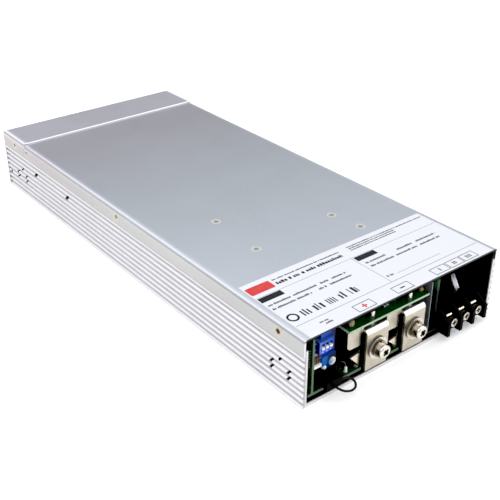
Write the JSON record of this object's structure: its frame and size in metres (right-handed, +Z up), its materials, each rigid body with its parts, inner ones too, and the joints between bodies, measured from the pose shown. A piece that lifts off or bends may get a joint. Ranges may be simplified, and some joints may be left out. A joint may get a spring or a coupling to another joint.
{
  "type": "industrial power supply",
  "caption": "Long flat power supply with a ribbed aluminium case, sheet cover, front output and mains terminals, control connectors and rear fans.",
  "frame": {"origin": "under the middle of the outline, on the floor's lower face", "axes": "+X to the right as seen from the terminal side, +Y from the terminals to the fans, +Z up"},
  "size_m": [0.14, 0.3349, 0.041],
  "materials": {
    "chassis_aluminium": "satin extrusion",
    "cover_sheet": "fine brushed, bluish grey",
    "label_white": "printed sticker",
    "screw_steel": "zinc plated",
    "black_sheet": "insulating sheet",
    "grey_film": "smoky film",
    "board_green": "solder resist",
    "plated_copper": "nickel plated",
    "black_plastic": "moulded",
    "blue_plastic": "moulded",
    "teal_plastic": "moulded",
    "white_plastic": "moulded",
    "led_clear": "clear dome",
    "disc_blue": "dipped coating",
    "fuse_sleeve": "fuse in a black sleeve",
    "cap_grey": "moulded box",
    "ferrite": "ground ferrite",
    "winding_copper": "enamelled wire",
    "cap_sleeve": "heat-shrunk sleeve",
    "heatsink_aluminium": "mill finish",
    "post_brass": "turned"
  },
  "bodies": {
    "case": {"base_chassis": "chassis_aluminium", "top_cover": "cover_sheet", "rear_panel": "cover_sheet", "rating_label": "label_white", "cover_side_screws": "screw_steel", "cover_top_screws": "screw_steel", "base_insulation_sheet": "black_sheet", "divider_sheet": "grey_film", "main_pcb": "board_green", "control_pcb": "board_green", "output_pcb": "board_green", "ac_sense_pcb": "board_green", "pcb_standoffs": "post_brass", "pcb_screws": "screw_steel", "output_pcb_screws": "screw_steel", "terminal_plate_pos": "plated_copper", "terminal_plate_neg": "plated_copper", "terminal_insulator_pos": "black_plastic", "terminal_insulator_neg": "black_plastic", "terminal_bolts": "plated_copper", "terminal_spring_washers": "plated_copper", "terminal_flat_washers": "plated_copper", "terminal_nuts": "plated_copper", "busbar_pos": "plated_copper", "busbar_neg": "plated_copper", "dip_switch_body": "blue_plastic", "trim_pot_body": "teal_plastic", "signal_header": "white_plastic", "control_header": "black_plastic", "control_plug": "black_plastic", "jumper_wire": "black_plastic", "status_led": "led_clear", "ac_terminal_block": "black_plastic", "ac_terminal_tabs": "plated_copper", "ac_terminal_screws": "plated_copper", "varistor": "disc_blue", "ac_fuse": "fuse_sleeve", "x_capacitors": "cap_grey", "emi_choke_core": "ferrite", "emi_choke_winding": "winding_copper", "bulk_capacitors": "cap_sleeve", "pfc_choke_core": "ferrite", "pfc_choke_winding": "winding_copper", "transformer_core": "ferrite", "transformer_winding": "winding_copper", "primary_heatsink": "heatsink_aluminium", "secondary_heatsink": "heatsink_aluminium", "power_transistors": "black_plastic", "output_capacitors": "cap_sleeve", "fan_frame_1": "black_plastic", "fan_frame_2": "black_plastic", "fan_frame_3": "black_plastic", "fan_screws": "screw_steel"},
    "dip_slider_1": {"dip_slider_1": "white_plastic"},
    "dip_slider_2": {"dip_slider_2": "white_plastic"},
    "dip_slider_3": {"dip_slider_3": "white_plastic"},
    "fan_rotor_1": {"fan_rotor_1": "black_plastic"},
    "fan_rotor_2": {"fan_rotor_2": "black_plastic"},
    "fan_rotor_3": {"fan_rotor_3": "black_plastic"},
    "trim_pot_rotor": {"trim_pot_rotor": "white_plastic"}
  },
  "joints": [
    {"name": "fan_spin_1", "type": "hinge", "parent": "case", "child": "fan_rotor_1", "pos_m": [-0.042, 0.1509, 0.0204], "axis": [0, 1, 0], "continuous": true},
    {"name": "fan_spin_2", "type": "hinge", "parent": "case", "child": "fan_rotor_2", "pos_m": [0, 0.1509, 0.0204], "axis": [0, 1, 0], "continuous": true},
    {"name": "fan_spin_3", "type": "hinge", "parent": "case", "child": "fan_rotor_3", "pos_m": [0.042, 0.1509, 0.0204], "axis": [0, 1, 0], "continuous": true},
    {"name": "dip_slide_1", "type": "slide", "parent": "case", "child": "dip_slider_1", "axis": [0, 0, 1], "range_m": [0, 0.0016]},
    {"name": "dip_slide_2", "type": "slide", "parent": "case", "child": "dip_slider_2", "axis": [0, 0, 1], "range_m": [0, 0.0016]},
    {"name": "dip_slide_3", "type": "slide", "parent": "case", "child": "dip_slider_3", "axis": [0, 0, 1], "range_m": [0, 0.0016]},
    {"name": "trim_turn", "type": "hinge", "parent": "case", "child": "trim_pot_rotor", "pos_m": [-0.0483, -0.1551, 0.017], "axis": [0, 1, 0], "range_deg": [-130, 130]}
  ]
}
